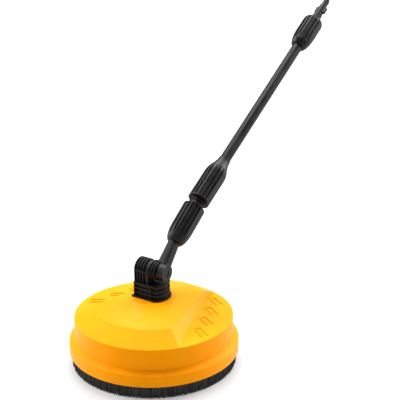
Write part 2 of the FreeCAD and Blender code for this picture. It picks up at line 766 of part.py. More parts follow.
def base_fasteners():
    gasket = base_plate("gasket", Z.flange_margin - Z.skin, crown_top, base_foot)
    holes = [drum("gasket_bore", Z.roof_bore, Z.gasket_wall, z=crown_top)]
    holes += [drum("gasket_hole", Z.base_screw_radius, Z.gasket_wall,
                   *base_screw_place(*corner), crown_top) for corner in CORNERS]
    keep(cut("base_gasket", gasket, group("gasket_holes", holes)), "base_gasket")
    nut = part("Prism", "nut", Circumradius=Z.nut_radius, Height=Z.nut_height)
    nut.Polygon = 6
    place(nut, z=roof_inside - Z.nut_height)
    thread = drum("nut_bore", Z.base_spigot, Z.nut_height, z=roof_inside - Z.nut_height)
    keep(cut("clamp_nut", nut, thread), "clamp_nut")
    head = Z.ring_head_height
    keep(group("base_screws", [fuse("base_screw", [
        drum("shank", Z.base_screw_radius, Z.base_screw_length, *base_screw_place(*corner),
             roof_inside),
        drum("head", Z.base_screw_head, head, *base_screw_place(*corner), roof_inside - head)])
        for corner in CORNERS]), "base_screws")


# ---------------------------------------------------------------- spindle and bearings
def spindle():
    turned("spindle", [(Z.water_radius, Z.spindle_bottom), (Z.spindle_radius, Z.spindle_bottom),
                       (Z.spindle_radius, hub_top), (Z.shoulder_radius, hub_top),
                       (Z.shoulder_radius, spigot_foot), (Z.spindle_radius, spigot_foot),
                       (Z.spindle_radius, spindle_top), (Z.water_radius, spindle_top)])
    square_ring("retaining_ring", Z.spindle_radius, Z.circlip_radius,
                Z.lower_bearing - Z.circlip_wall, Z.lower_bearing)


def square_ring(label, inner, outer, low, high):
    return turned(label, [(inner, low), (outer, low), (outer, high), (inner, high)])


def bearing(name, foot):
    inner_top = Z.spindle_radius + Z.race_wall
    outer_bore = Z.bearing_radius - Z.race_wall
    high = foot + Z.bearing_height
    square_ring(name + "_inner_race", Z.spindle_radius, inner_top, foot, high)
    square_ring(name + "_outer_race", outer_bore, Z.bearing_radius, foot, high)
    ball_radius = (outer_bore - inner_top) / 2 - Z.run_gap
    middle = (outer_bore + inner_top) / 2
    balls = []
    for number in spots(Z.ball_count):
        angle = size_of(TURN) / Z.ball_count * number
        ball = part("Sphere", name + "_ball", Radius=ball_radius)
        balls.append(place(ball, middle * cosine(angle), middle * sine(angle),
                           foot + Z.bearing_height / 2))
    keep(group(name + "_balls", balls), name + "_balls")


# ---------------------------------------------------------------- rotor
def arm_rod(name, radius, start, end, side):
    """A level cylinder along the spray arms' direction, on one side of the axis."""
    start = size_of(start)
    rod = part("Cylinder", name, Radius=radius, Height=size_of(end) - start)
    turn = Z.rotor_turn.value if side > 0 else Z.rotor_turn.value + TURN / 2
    rod.Placement = FreeCAD.Placement(FreeCAD.Vector(0, 0, 0), FreeCAD.Rotation(turn, 90, 0))
    bind(rod, Placement__Base__x=start * side * cosine(Z.rotor_turn),
         Placement__Base__y=start * side * sine(Z.rotor_turn),
         Placement__Base__z=Z.arm_height)
    return rod


def spray_arm(number, side):
    tube = arm_rod("tube", Z.arm_tube_radius, Z.arm_tube_start, Z.arm_tube_end, side)
    bore = arm_rod("tube_bore", Z.arm_tube_bore, Z.arm_tube_start, Z.arm_tube_end, side)
    keep(cut("spray_arm", tube, bore), f"spray_arm_{number}")
    reach = (Z.arm_tube_end + Z.holder_radius / 2) * side
    x = reach * cosine(Z.rotor_turn)
    y = reach * sine(Z.rotor_turn)
    foot = Z.arm_height - Z.holder_height / 2
    block = drum("holder", Z.holder_radius, Z.holder_height, x, y, foot)
    socket = arm_rod("holder_socket", Z.arm_tube_radius, 0, Z.arm_tube_end, side)
    seat = drum("nozzle_seat", Z.nozzle_radius, Z.nozzle_drop, x, y, foot)
    way = drum("nozzle_way", Z.arm_tube_bore, Z.holder_height / 2, x, y, foot)
    keep(cut("holder_cut", block, group("holder_holes", [socket, seat, way])),
         f"nozzle_holder_{number}")
    tip = drum("tip", Z.nozzle_radius, Z.nozzle_drop * 2, x, y, foot - Z.nozzle_drop)
    spray = drum("orifice", Z.nozzle_bore, Z.nozzle_drop * 2, x, y, foot - Z.nozzle_drop)
    keep(cut("tip_cut", tip, spray), f"spray_nozzle_{number}")


def rotor():
    seat = Z.bearing_radius
    web = seat - Z.race_wall + Z.run_gap
    hub = body("hub_form")
    revolve(hub, [(seat, hub_floor), (Z.hub_radius, hub_floor), (Z.hub_radius, hub_top),
                  (seat, hub_top), (seat, Z.upper_bearing), (web, Z.upper_bearing),
                  (web, Z.lower_bearing + Z.bearing_height),
                  (seat, Z.lower_bearing + Z.bearing_height)])
    holes = [arm_rod("port", Z.arm_tube_radius, Z.arm_tube_start, FAR, side) for side in SIDES]
    holes += [arm_rod("port_inner", Z.arm_tube_bore, 0, Z.hub_radius, side) for side in SIDES]
    holes += [drum("cap_screw_bore", Z.cap_screw_radius, cap_screw_length,
                   *cap_screw_place(number), Z.hub_bottom) for number in spots(Z.cap_screws)]
    keep(cut("hub", hub, group("hub_holes", holes)), "rotor_hub")
    seal_top = Z.lower_bearing - Z.circlip_wall - Z.body_gap
    square_ring("shaft_seal", Z.spindle_radius + Z.run_gap, seat, seal_top - Z.seal_height,
                seal_top)
    cap = drum("cap_form", Z.hub_radius, Z.cap_height, z=Z.hub_bottom)
    holes = [drum("cap_hole", Z.cap_screw_radius, Z.cap_height, *cap_screw_place(number),
                  Z.hub_bottom) for number in spots(Z.cap_screws)]
    keep(cut("cap_cut", cap, group("cap_holes", holes)), "hub_cap")
    head = Z.ring_head_height
    keep(group("cap_screws", [fuse("cap_screw", [
        drum("shank", Z.cap_screw_radius, cap_screw_length, *cap_screw_place(number),
             Z.hub_bottom),
        drum("head", Z.cap_screw_radius * 2, head, *cap_screw_place(number),
             Z.hub_bottom - head)]) for number in spots(Z.cap_screws)]), "hub_cap_screws")
    for number, side in enumerate(SIDES):
        spray_arm(number + 1, side)


# ---------------------------------------------------------------- tilt joint
def tilt_joint():
    pin_solid = cross_drum("pin_solid", Z.pin_radius, -Z.pin_depth, Z.pin_end, z=pivot_height)
    ring_places = [Z.arm_offset - Z.ring_spread, Z.arm_offset + Z.ring_spread]
    holes = [cross_drum("pin_bore", Z.pin_radius - Z.pin_wall, -Z.pin_depth + Z.pin_wall,
                        Z.pin_end, z=pivot_height),
             drum("pin_port", Z.water_radius, Z.pin_radius, z=pivot_height - Z.pin_radius),
             drum("arm_port", Z.water_radius, Z.pin_radius * 2, Z.arm_offset,
                  z=pivot_height - Z.pin_radius)]
    for x in ring_places:
        outside = cross_drum("groove_out", Z.pin_radius, x - Z.ring_cord, x + Z.ring_cord,
                             z=pivot_height)
        inside = cross_drum("groove_in", Z.pin_radius - Z.ring_cord * 2, x - Z.ring_cord,
                            x + Z.ring_cord, z=pivot_height)
        holes.append(cut("groove", outside, inside))
    keep(cut("tilt_pin_cut", pin_solid, group("pin_holes", holes)), "tilt_pin")
    rings = []
    for x in ring_places:
        ring = part("Torus", "pin_ring", Radius1=Z.pin_radius - Z.ring_cord, Radius2=Z.ring_cord)
        rings.append(place(ring, x, 0, pivot_height, (0, 1, 0), 90))
    keep(group("pin_rings", rings), "tilt_pin_rings")
    washer = cross_drum("washer", Z.core_radius, Z.block_inner, Z.block_inner + Z.washer_wall,
                        z=pivot_height)
    bore = cross_drum("washer_bore", Z.pin_radius, Z.block_inner, FAR, z=pivot_height)
    keep(cut("washer_cut", washer, bore), "thrust_washer")
    head = cross_drum("screw_head", Z.screw_head_radius, Z.pin_end,
                      Z.pin_end + Z.screw_head_height, z=pivot_height)
    shank = cross_drum("screw_shank", Z.pin_radius - Z.pin_wall, Z.pin_end - Z.pin_wall * 2,
                       Z.pin_end, z=pivot_height)
    keep(fuse("tilt_screw", [head, shank]), "tilt_screw")


# ---------------------------------------------------------------- arm
def groove_cutters(name, radius, low, high):
    """Lengthwise grooves on the front and the back half of a grip, and its two flat lands."""
    cutters = []
    for start in (90, 270):
        row = body(name)
        drawn = rectangle(sketch(row, "XY_Plane", low), radius - Z.groove_depth,
                          -Z.groove_width / 2, radius + Z.groove_width, Z.groove_width / 2)
        slot = extrude(row, drawn, high - size_of(low))
        around(row, slot, Z.groove_count, Z.groove_spread)
        cutters.append(place(row, turn=size_of(start) - Z.groove_spread / 2))
    for side in SIDES:
        near = (radius - Z.land_depth) * side
        far = (radius + FAR) * side
        span = (near, far) if side > 0 else (far, near)
        cutters.append(box(name + "_land", (span[0], -Z.tube_radius, low),
                           (span[1], Z.tube_radius, high)))
    return cutters


def elbow_arm():
    """Barrel about the tilt axis, stem and ribbed grip in one moulding, in the arm's frame."""
    slim = cross_drum("barrel_core", Z.core_radius, Z.barrel_start, Z.drum_start)
    plain = cross_drum("barrel_drum", Z.drum_radius, Z.drum_start, Z.barrel_end)
    pitch = (Z.drum_start - Z.barrel_start) / Z.ring_fins
    fins = [cross_drum("ring_fin", Z.fin_radius, Z.barrel_start + pitch * number,
                       Z.barrel_start + pitch * number + Z.fin_wall)
            for number in spots(Z.ring_fins)]
    stem = body("stem")
    sections = [(Z.stem_root_offset, Z.stem_root_radius, Z.stem_length * Z.stem_root_share),
                ((Z.stem_root_offset + Z.arm_offset) / 2,
                 (Z.stem_root_radius + Z.stem_radius) / 2, Z.stem_length * Z.stem_waist_share),
                (Z.arm_offset, Z.stem_radius, Z.stem_length + Z.skin * 2)]
    drawn = [circle(sketch(stem, "XY_Plane", lift), x, 0, radius)
             for x, radius, lift in sections]
    loft = stem.newObject("PartDesign::AdditiveLoft", "Loft")
    loft.Profile = drawn[0]
    loft.Sections = drawn[1:]
    stem.Tip = loft
    grip_top = Z.arm_length - Z.grip_end
    grip = body("grip")
    revolve(grip, [(0, Z.stem_length)]
            + dome(Z.stem_radius + Z.skin, Z.grip_radius, Z.stem_length, Z.grip_taper)
            + [(Z.grip_radius, grip_top), (0, grip_top)])
    around_grip = fuse("grip_cutters", groove_cutters("arm_groove", Z.grip_radius,
                                                      Z.stem_length, grip_top - Z.skin * 2))
    ribbed = cut("ribbed_grip", grip, around_grip)
    place(ribbed, Z.arm_offset)
    solid = fuse("arm_solid", [slim, plain, stem, ribbed] + fins)
    shank_foot = grip_top - Z.neck_shank
    holes = [cross_drum("pin_bore", Z.pin_radius + Z.run_gap, 0, Z.cap_seat),
             cross_drum("screw_room", Z.cap_radius, Z.cap_seat, FAR),
             drum("arm_way", Z.water_radius, grip_top, Z.arm_offset),
             drum("shank_seat", Z.shank_radius, FAR, Z.arm_offset, z=shank_foot)]
    keep(at_arm(cut("elbow_arm", solid, group("arm_holes", holes))), "elbow_arm")
    cap = cross_drum("cap", Z.cap_radius, Z.barrel_end - Z.cap_wall, Z.barrel_end)
    recess = part("Prism", "cap_recess", Circumradius=Z.cap_recess, Height=FAR)
    recess.Polygon = 6
    place(recess, Z.barrel_end - Z.cap_wall / 2, 0, 0, (0, 1, 0), 90)
    keep(at_arm(cut("barrel_cap", cap, recess)), "barrel_cap")


def neck():
    """The coupling's neck: its shank lies along the arm, its rings and spigot along the lance."""
    grip_top = Z.arm_length - Z.grip_end
    shank = drum("neck_shank", Z.shank_radius, Z.neck_shank + Z.grip_end, Z.arm_offset,
                 z=grip_top - Z.neck_shank)
    at_arm_shank = group("arm_side", [shank])
    place(at_arm_shank, z=pivot_height, axis=(1, 0, 0), turn=-Z.arm_lean)
    upper = body("neck_upper")
    rows = [(0, Z.neck_start)]
    pitch = (Z.collar_start + Z.mouth_depth / 2 - Z.neck_start) / Z.neck_rings
    for number in spots(Z.neck_rings):
        low = Z.neck_start + pitch * number
        rows += [(Z.neck_ring_radius, low), (Z.neck_ring_radius, low + Z.neck_ring_wall),
                 (Z.neck_core_radius, low + Z.neck_ring_wall), (Z.neck_core_radius, low + pitch)]
    rows += [(Z.spigot_radius, Z.neck_start + pitch * Z.neck_rings),
             (Z.spigot_radius, ring_seat - Z.ring_cord),
             (Z.spigot_radius - Z.ring_cord * 2, ring_seat - Z.ring_cord),
             (Z.spigot_radius - Z.ring_cord * 2, ring_seat + Z.ring_cord),
             (Z.spigot_radius, ring_seat + Z.ring_cord),
             (Z.spigot_radius, Z.spigot_end), (0, Z.spigot_end)]
    revolve(upper, rows)
    at_lance(upper)
    way_up = body("way_up")
    extrude(way_up, circle(sketch(way_up), 0, 0, Z.water_radius), Z.spigot_end)
    at_lance(way_up)
    way_down = drum("way_down", Z.water_radius, Z.arm_length, Z.arm_offset)
    down = place(group("way_down_set", [way_down]), z=pivot_height, axis=(1, 0, 0),
                 turn=-Z.arm_lean)
    solid = fuse("neck_solid", [at_arm_shank, upper])
    keep(cut("neck", solid, group("neck_ways", [way_up, down])), "coupling_neck")
    ring = part("Torus", "coupling_torus", Radius1=Z.spigot_radius - Z.ring_cord,
                Radius2=Z.ring_cord)
    keep(at_lance(group("coupling_ring_set", [place(ring, z=ring_seat)])), "coupling_ring")


# ---------------------------------------------------------------- lance
def collar():
    """Flared ribbed collar: a round mouth over the neck and a slim end on the tube."""
    rim = Z.collar_start
    mouth_floor = rim + Z.mouth_depth
    guide_end = Z.spigot_end + Z.body_gap
    flare = Z.collar_end - Z.collar_shoulder
    made = body("collar_form")
    revolve(made, [(Z.mouth_radius, rim), (Z.grip_radius, rim)]
            + swell(Z.grip_radius, Z.collar_slim_radius, Z.collar_shoulder, flare)
            + [(Z.tube_radius, Z.collar_end),
                   (Z.tube_radius, Z.tube_start), (Z.core_tube_radius, Z.tube_start),
                   (Z.core_tube_radius, guide_end),
                   (Z.spigot_radius + Z.run_gap, guide_end),
                   (Z.spigot_radius + Z.run_gap, mouth_floor), (Z.mouth_radius, mouth_floor)])
    cutters = fuse("collar_grooves", groove_cutters("collar_groove", Z.grip_radius,
                                                    rim + Z.groove_depth, Z.collar_end))
    keep(at_lance(cut("collar", made, cutters)), "lance_collar")


def lance_tubes():
    at_lance(square_ring("lance_tube", Z.tube_radius - Z.tube_wall, Z.tube_radius,
                         Z.tube_start, Z.tube_end))
    at_lance(square_ring("pressure_tube", Z.core_tube_radius - Z.tube_wall, Z.core_tube_radius,
                         Z.spigot_end + Z.body_gap, Z.top_grip_end - Z.top_grip_round))


def top_grip():
    low = Z.top_grip_start
    high = Z.top_grip_end
    made = body("top_grip_form")
    closing = dome(Z.top_ring_radius, Z.grip_radius, 0, Z.top_grip_round)
    revolve(made, [(Z.tube_radius, low)]
            + dome(Z.tube_radius + Z.body_gap, Z.grip_radius, low, Z.top_grip_taper)
            + [(radius, high - rise) for radius, rise in reversed(closing)]
            + [(Z.nipple_body_radius, high),
                   (Z.nipple_body_radius, Z.tube_end), (Z.tube_radius, Z.tube_end)])
    cutters = fuse("top_grooves", groove_cutters("top_groove", Z.grip_radius, low, high))
    keep(at_lance(cut("top_grip", made, cutters)), "lance_grip")
    at_lance(square_ring("grip_end_ring", Z.nipple_body_radius, Z.top_ring_radius, high,
                         high + Z.top_ring_wall))


def inlet_nipple():
    """Bayonet nipple: seat in the grip, neck, lugs, and a round head with an O-ring."""
    seat = Z.top_grip_end - Z.top_grip_round
    foot = Z.top_grip_end + Z.top_ring_wall
    neck_top = foot + Z.nipple_neck
    head_foot = neck_top + Z.nipple_body
    head_top = head_foot + Z.head_length
    groove = head_foot + Z.head_length * 0.6
    groove_floor = Z.head_radius - Z.head_ring_cord * 2
    half = Z.head_ring_cord
    made = body("nipple_form")
    revolve(made, [(Z.core_tube_radius - Z.tube_wall, seat), (Z.nipple_body_radius, seat),
                   (Z.nipple_body_radius, foot), (Z.nipple_neck_radius, foot),
                   (Z.nipple_neck_radius, neck_top), (Z.nipple_body_radius, neck_top),
                   (Z.nipple_body_radius, head_foot), (Z.head_radius, head_foot),
                   (Z.head_radius, groove - half), (groove_floor, groove - half),
                   (groove_floor, groove + half), (Z.head_radius, groove + half),
                   (Z.head_radius, head_top), (Z.nose_radius, head_top),
                   (Z.nose_radius, head_top + Z.nose_length),
                   (Z.filter_radius, head_top + Z.nose_length), (Z.filter_radius, head_foot),
                   (Z.core_tube_radius - Z.tube_wall, head_foot)])
    lug_foot = neck_top + (Z.nipple_body - Z.lug_length) / 2
    lugs = box("lugs", (-Z.lug_reach, -Z.lug_wall / 2, lug_foot),
               (Z.lug_reach, Z.lug_wall / 2, lug_foot + Z.lug_length))
    way = drum("lug_way", Z.nipple_body_radius - Z.run_gap, Z.nipple_body, z=neck_top)
    solid = fuse("nipple", [made, cut("lug_pair", lugs, way)])
    keep(at_lance(solid), "inlet_nipple")
    ring = part("Torus", "nipple_torus", Radius1=Z.head_radius - half, Radius2=half)
    keep(at_lance(group("nipple_ring_set", [place(ring, z=groove)])), "nipple_ring")
    at_lance(square_ring("inlet_filter", Z.filter_radius - Z.skin * 2, Z.filter_radius,
                         head_foot, head_top + Z.nose_length - Z.body_gap))


deck_shell()
brush()
swivel_base()
base_fasteners()
spindle()
bearing("upper_bearing", Z.upper_bearing)
bearing("lower_bearing", Z.lower_bearing)
rotor()
tilt_joint()
elbow_arm()
neck()
collar()
lance_tubes()
top_grip()
inlet_nipple()
DOC.recompute()

for thing in DOC.Objects:
    if "Invalid" in thing.State or "Error" in thing.State:
        raise RuntimeError(f"{thing.Label} did not build: {thing.State}")
for node in NODES:
    if node.Shape.isNull() or not node.Shape.isValid() or not node.Shape.Solids:
        raise RuntimeError(f"{node.Label} has no valid solid")

os.makedirs("parts", exist_ok=True)
for node in NODES:
    node.Shape.exportStep(f"parts/{node.Label}.step")
    print(node.Label, len(node.Shape.Solids), round(node.Shape.Volume))
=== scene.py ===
"""Looks of a pressure-washer surface cleaner, built around its packed mechanical model.

Laid out as an add-on: settings, operators for groups of pieces, a sidebar panel.
"""
import json
import math
import random

import bpy
from mathutils import Matrix, Vector


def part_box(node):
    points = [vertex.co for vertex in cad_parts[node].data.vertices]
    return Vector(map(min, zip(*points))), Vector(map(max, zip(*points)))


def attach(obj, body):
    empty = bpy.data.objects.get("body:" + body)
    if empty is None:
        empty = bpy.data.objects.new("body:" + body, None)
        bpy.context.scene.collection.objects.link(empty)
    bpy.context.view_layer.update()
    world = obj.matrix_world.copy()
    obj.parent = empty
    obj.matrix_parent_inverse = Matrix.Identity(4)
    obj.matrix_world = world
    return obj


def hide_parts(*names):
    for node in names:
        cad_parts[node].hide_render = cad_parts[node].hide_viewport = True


bl_info = {
    "name": "Surface Cleaner Looks",
    "version": (1, 0, 0),
    "blender": (4, 5, 0),
    "location": "View3D > Sidebar > Cleaner",
    "description": "Moulded plastics, bristles, metals and studio for a surface cleaner",
    "category": "Object",
}

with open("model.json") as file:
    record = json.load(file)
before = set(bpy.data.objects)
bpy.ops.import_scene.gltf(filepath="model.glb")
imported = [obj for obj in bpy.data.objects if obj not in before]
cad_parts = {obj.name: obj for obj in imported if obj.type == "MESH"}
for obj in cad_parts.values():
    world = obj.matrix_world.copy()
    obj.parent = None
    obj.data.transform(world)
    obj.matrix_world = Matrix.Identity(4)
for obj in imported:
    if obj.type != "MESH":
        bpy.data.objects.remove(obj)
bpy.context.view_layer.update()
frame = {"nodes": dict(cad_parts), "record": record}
MM = 0.001

# merging and rounding of the mouldings
MERGE_DISTANCE = 0.004 * MM
FLAT_ANGLE = math.radians(0.3)
EDGE_ANGLE = math.radians(28)
DECK_EDGE_ANGLE = math.radians(8)
CREASE_ANGLE = math.radians(32)
FACE_AREA_WEIGHT = 100
DECK_EDGE_SEGMENTS = 3

# the brush
BRUSH_SEED = 7
BRUSH_WIDTH = 12 * MM
BRISTLE_SIDES = 3
BRISTLE_CREASE_ANGLE = math.radians(60)
TUFT_HALF_WIDTH = 1.5 * MM
TUFT_LEAN = 0.4
BRISTLE_STRAY = 0.5
TIP_RAGGEDNESS = 0.5
OUTER_SPREAD = 2.2 * MM

# the floor, the lamps and the lens
FLOOR_SIZE = 60
FLOOR_DROP = 0.2 * MM
FLOOR_GREY = 0.42
FLOOR_LIGHT = 0.43
FLOOR_DARK = 0.41
FLOOR_GLOW = 0.35
SKY_STRENGTH = 0.35
SENSOR_WIDTH = 36
CLIP_END = 50
QUARTER_TURN = math.radians(90)


# ---------------------------------------------------------------- settings
class CleanerDeckSettings(bpy.types.PropertyGroup):
    """Sizes and colour of the moulded deck."""

    edge_radius: bpy.props.FloatProperty(
        name="Edge radius", description="Rounding of the deck's moulded edges",
        default=2.2 * MM, subtype="DISTANCE", unit="LENGTH")
    colour: bpy.props.FloatVectorProperty(
        name="Deck colour", description="Pigment of the deck's plastic",
        default=(0.95, 0.315, 0.0), size=3, subtype="COLOR", min=0, max=1)
    grain: bpy.props.FloatProperty(
        name="Grain", description="Depth of the mould's fine grain",
        default=0.012 * MM, subtype="DISTANCE", unit="LENGTH")


class CleanerBrushSettings(bpy.types.PropertyGroup):
    """Layout of the bristles."""

    sectors: bpy.props.IntProperty(
        name="Sectors", description="Equal sectors the brush is built from", default=24)
    rows: bpy.props.IntProperty(
        name="Rows", description="Rows of tufts across the brush", default=5)
    tufts: bpy.props.IntProperty(
        name="Tufts", description="Tufts along each row of a sector", default=12)
    bristles: bpy.props.IntProperty(
        name="Bristles", description="Bristles in each tuft", default=11)
    thickness: bpy.props.FloatProperty(
        name="Thickness", description="Thickness of a bristle at its root",
        default=0.95 * MM, subtype="DISTANCE", unit="LENGTH")
    splay: bpy.props.FloatProperty(
        name="Splay", description="How far tips stray from their tuft",
        default=0.9 * MM, subtype="DISTANCE", unit="LENGTH")
    colour: bpy.props.FloatVectorProperty(
        name="Bristle colour", description="Nylon of the bristles",
        default=(0.012, 0.012, 0.013), size=3, subtype="COLOR", min=0, max=1)


class CleanerPlasticSettings(bpy.types.PropertyGroup):
    """Black mouldings of the joint and the lance."""

    edge_radius: bpy.props.FloatProperty(
        name="Edge radius", description="Rounding of the black mouldings' edges",
        default=0.35 * MM, subtype="DISTANCE", unit="LENGTH")
    colour: bpy.props.FloatVectorProperty(
        name="Plastic colour", description="Pigment of the black plastic",
        default=(0.0045, 0.0045, 0.0048), size=3, subtype="COLOR", min=0, max=1)


class CleanerStageSettings(bpy.types.PropertyGroup):
    """Camera and light."""

    azimuth: bpy.props.FloatProperty(
        name="Azimuth", description="Camera's direction about the deck's axis",
        default=math.radians(37), subtype="ANGLE", unit="ROTATION")
    distance: bpy.props.FloatProperty(
        name="Distance", description="Level distance from the deck's axis",
        default=1.495, subtype="DISTANCE", unit="LENGTH")
    height: bpy.props.FloatProperty(
        name="Height", description="Camera's height over the floor",
        default=0.802, subtype="DISTANCE", unit="LENGTH")
    pitch: bpy.props.FloatProperty(
        name="Pitch", description="How far the camera looks down",
        default=math.radians(19.32), subtype="ANGLE", unit="ROTATION")
    yaw: bpy.props.FloatProperty(
        name="Yaw", description="How far the camera looks to the right of the deck's axis",
        default=math.radians(2.93), subtype="ANGLE", unit="ROTATION")
    roll: bpy.props.FloatProperty(
        name="Roll", description="Camera's roll",
        default=math.radians(0.11), subtype="ANGLE", unit="ROTATION")
    lens: bpy.props.FloatProperty(
        name="Lens", description="Focal length in millimetres", default=90)


# ---------------------------------------------------------------- material helpers
FINISH_NAMES = {"deck_yellow": "moulded_yellow", "black_plastic": "moulded_black",
                "bristle": "bristle_nylon", "rubber": "soft_rubber",
                "steel": "brushed_steel", "brass": "machined_brass"}

# the colour sockets of a Mix node, whose names repeat for its other data types
MIX_FIRST = 6
MIX_SECOND = 7
MIX_RESULT = 2


def new_material(name, colour, roughness, metallic=0.0):
    """A material with its shader set up; returns it with its nodes, links and shader."""
    material = bpy.data.materials.new(name)
    material.use_nodes = True
    nodes = material.node_tree.nodes
    links = material.node_tree.links
    shader = nodes["Principled BSDF"]
    shader.inputs["Base Color"].default_value = (*colour, 1)
    shader.inputs["Roughness"].default_value = roughness
    shader.inputs["Metallic"].default_value = metallic
    return material, nodes, links, shader


def noise(nodes, links, scale, detail=2.0, stretch=(1, 1, 1)):
    """Noise on the piece's own coordinates."""
    place = nodes.new("ShaderNodeTexCoord")
    turn = nodes.new("ShaderNodeMapping")
    turn.inputs["Scale"].default_value = stretch
    links.new(place.outputs["Object"], turn.inputs["Vector"])
    made = nodes.new("ShaderNodeTexNoise")
    made.inputs["Scale"].default_value = scale
    made.inputs["Detail"].default_value = detail
    links.new(turn.outputs["Vector"], made.inputs["Vector"])
    return made.outputs["Fac"]


def remap(nodes, links, value, low, high, start=0.35, end=0.65):
    """Stretch the span from start to end of a pattern over low to high."""
    made = nodes.new("ShaderNodeMapRange")
    made.inputs["From Min"].default_value = start
    made.inputs["From Max"].default_value = end
    made.inputs["To Min"].default_value = low
    made.inputs["To Max"].default_value = high
    links.new(value, made.inputs["Value"])
    return made.outputs["Result"]


def two_colours(nodes, links, value, first, second):
    """Blend from the first colour to the second as the value rises."""
    made = nodes.new("ShaderNodeMix")
    made.data_type = "RGBA"
    made.inputs[MIX_FIRST].default_value = (*first, 1)
    made.inputs[MIX_SECOND].default_value = (*second, 1)
    links.new(value, made.inputs["Factor"])
    return made.outputs[MIX_RESULT]


def bump(nodes, links, shader, value, distance, strength=1.0, under=None):
    """Raise the surface by a pattern, over another bump where one is given."""
    made = nodes.new("ShaderNodeBump")
    made.inputs["Distance"].default_value = distance
    made.inputs["Strength"].default_value = strength
    links.new(value, made.inputs["Height"])
    if under is not None:
        links.new(under, made.inputs["Normal"])
    links.new(made.outputs["Normal"], shader.inputs["Normal"])
    return made.outputs["Normal"]


def shade(colour, factor):
    """The colour made darker or lighter."""
    return tuple(channel * factor for channel in colour)


def deck_plastic(settings):
    """Yellow moulded plastic: even pigment, fine grain, faint flow marks and scuffs."""
    colour = tuple(settings.colour)
    material, nodes, links, shader = new_material("moulded_yellow", colour, 0.42)
    shader.inputs["Specular IOR Level"].default_value = 0.12
    shader.inputs["Specular Tint"].default_value = (1.0, 0.72, 0.16, 1)
    cloud = noise(nodes, links, scale=14, detail=4)
    blend = remap(nodes, links, cloud, 0, 1)
    links.new(two_colours(nodes, links, blend, shade(colour, 0.95), colour),
              shader.inputs["Base Color"])
    scuffs = noise(nodes, links, scale=60, detail=6, stretch=(1, 1, 4))
    links.new(remap(nodes, links, scuffs, low=0.36, high=0.5), shader.inputs["Roughness"])
    grain = noise(nodes, links, scale=1400, detail=3)
    flow = noise(nodes, links, scale=40, detail=2)
    first = bump(nodes, links, shader, flow, distance=settings.grain * 6, strength=0.4)
    bump(nodes, links, shader, grain, distance=settings.grain, under=first)
    return material


def black_plastic(settings):
    """Black moulded plastic: satin, spark-eroded grain, greyer where it is rubbed."""
    colour = tuple(settings.colour)
    material, nodes, links, shader = new_material("moulded_black", colour, 0.4)
    shader.inputs["Specular IOR Level"].default_value = 0.2
    cloud = noise(nodes, links, scale=45, detail=5)
    blend = remap(nodes, links, cloud, 0, 1)
    links.new(two_colours(nodes, links, blend, colour, shade(colour, 1.7)),
              shader.inputs["Base Color"])
    links.new(remap(nodes, links, cloud, low=0.33, high=0.5), shader.inputs["Roughness"])
    grain = noise(nodes, links, scale=1900, detail=4)
    bump(nodes, links, shader, grain, distance=0.02 * MM)
    return material


def nylon(settings):
    """Bristles: dark nylon with a soft sheen and light and dark tufts."""
    colour = tuple(settings.colour)
    material, nodes, links, shader = new_material("bristle_nylon", colour, 0.5)
    tufts = noise(nodes, links, scale=420, detail=2, stretch=(1, 1, 0.05))
    blend = remap(nodes, links, tufts, low=0, high=1, start=0.42, end=0.6)
    links.new(two_colours(nodes, links, blend, shade(colour, 0.6), shade(colour, 3.2)),
              shader.inputs["Base Color"])
    links.new(remap(nodes, links, tufts, low=0.42, high=0.62), shader.inputs["Roughness"])
    return material


def soft_rubber():
    """Dull black rubber of the seals."""
    material, nodes, links, shader = new_material("soft_rubber", (0.014, 0.014, 0.014), 0.65)
    cloud = noise(nodes, links, scale=240, detail=3)
    links.new(remap(nodes, links, cloud, low=0.55, high=0.78), shader.inputs["Roughness"])
    pores = noise(nodes, links, scale=2600, detail=2)
    bump(nodes, links, shader, pores, distance=0.01 * MM)
    return material


def brushed_steel():
    """Steel with fine strokes along its length."""
    material, nodes, links, shader = new_material("brushed_steel", (0.52, 0.52, 0.53), 0.3, 1.0)
    strokes = noise(nodes, links, scale=900, detail=3, stretch=(1, 1, 0.06))
    links.new(remap(nodes, links, strokes, low=0.2, high=0.42), shader.inputs["Roughness"])
    bump(nodes, links, shader, strokes, distance=0.008 * MM)
    return material


def machined_brass():
    """Turned brass, browner where it has tarnished."""
    bright = (0.62, 0.4, 0.13)
    tarnished = (0.45, 0.27, 0.08)
    material, nodes, links, shader = new_material("machined_brass", bright, 0.32, 1.0)
    tarnish = noise(nodes, links, scale=110, detail=4)
    blend = remap(nodes, links, tarnish, 0, 1)
    links.new(two_colours(nodes, links, blend, bright, tarnished),
              shader.inputs["Base Color"])
    rings = noise(nodes, links, scale=1200, detail=2, stretch=(0.06, 0.06, 1))
    links.new(remap(nodes, links, rings, low=0.24, high=0.42), shader.inputs["Roughness"])
    bump(nodes, links, shader, rings, distance=0.006 * MM)
    return material


def finish(slot):
    """The finish of a slot, made when it is first asked for."""
    name = FINISH_NAMES[slot]
    if name not in bpy.data.materials:
        scene = bpy.context.scene
        makers = {"deck_yellow": lambda: deck_plastic(scene.cleaner_deck),
                  "black_plastic": lambda: black_plastic(scene.cleaner_plastic),
                  "bristle": lambda: nylon(scene.cleaner_brush),
                  "rubber": soft_rubber,
                  "steel": brushed_steel,
                  "brass": machined_brass}
        makers[slot]()
    return bpy.data.materials[name]


def slot_of(node):
    """The finish that the record gives a node."""
    rows = frame["record"]["subparts"]
    return next(row["material_slot"] for row in rows if row["node"] == node)


def body_of(node):
    """The moving body that a node belongs to."""
    bodies = frame["record"]["behaviour"]["bodies"]
    return next(name for name, nodes in bodies.items() if node in nodes)


def paint(piece, slot):
    """Give a piece the finish of a slot."""
    piece.data.materials.clear()
    piece.data.materials.append(finish(slot))


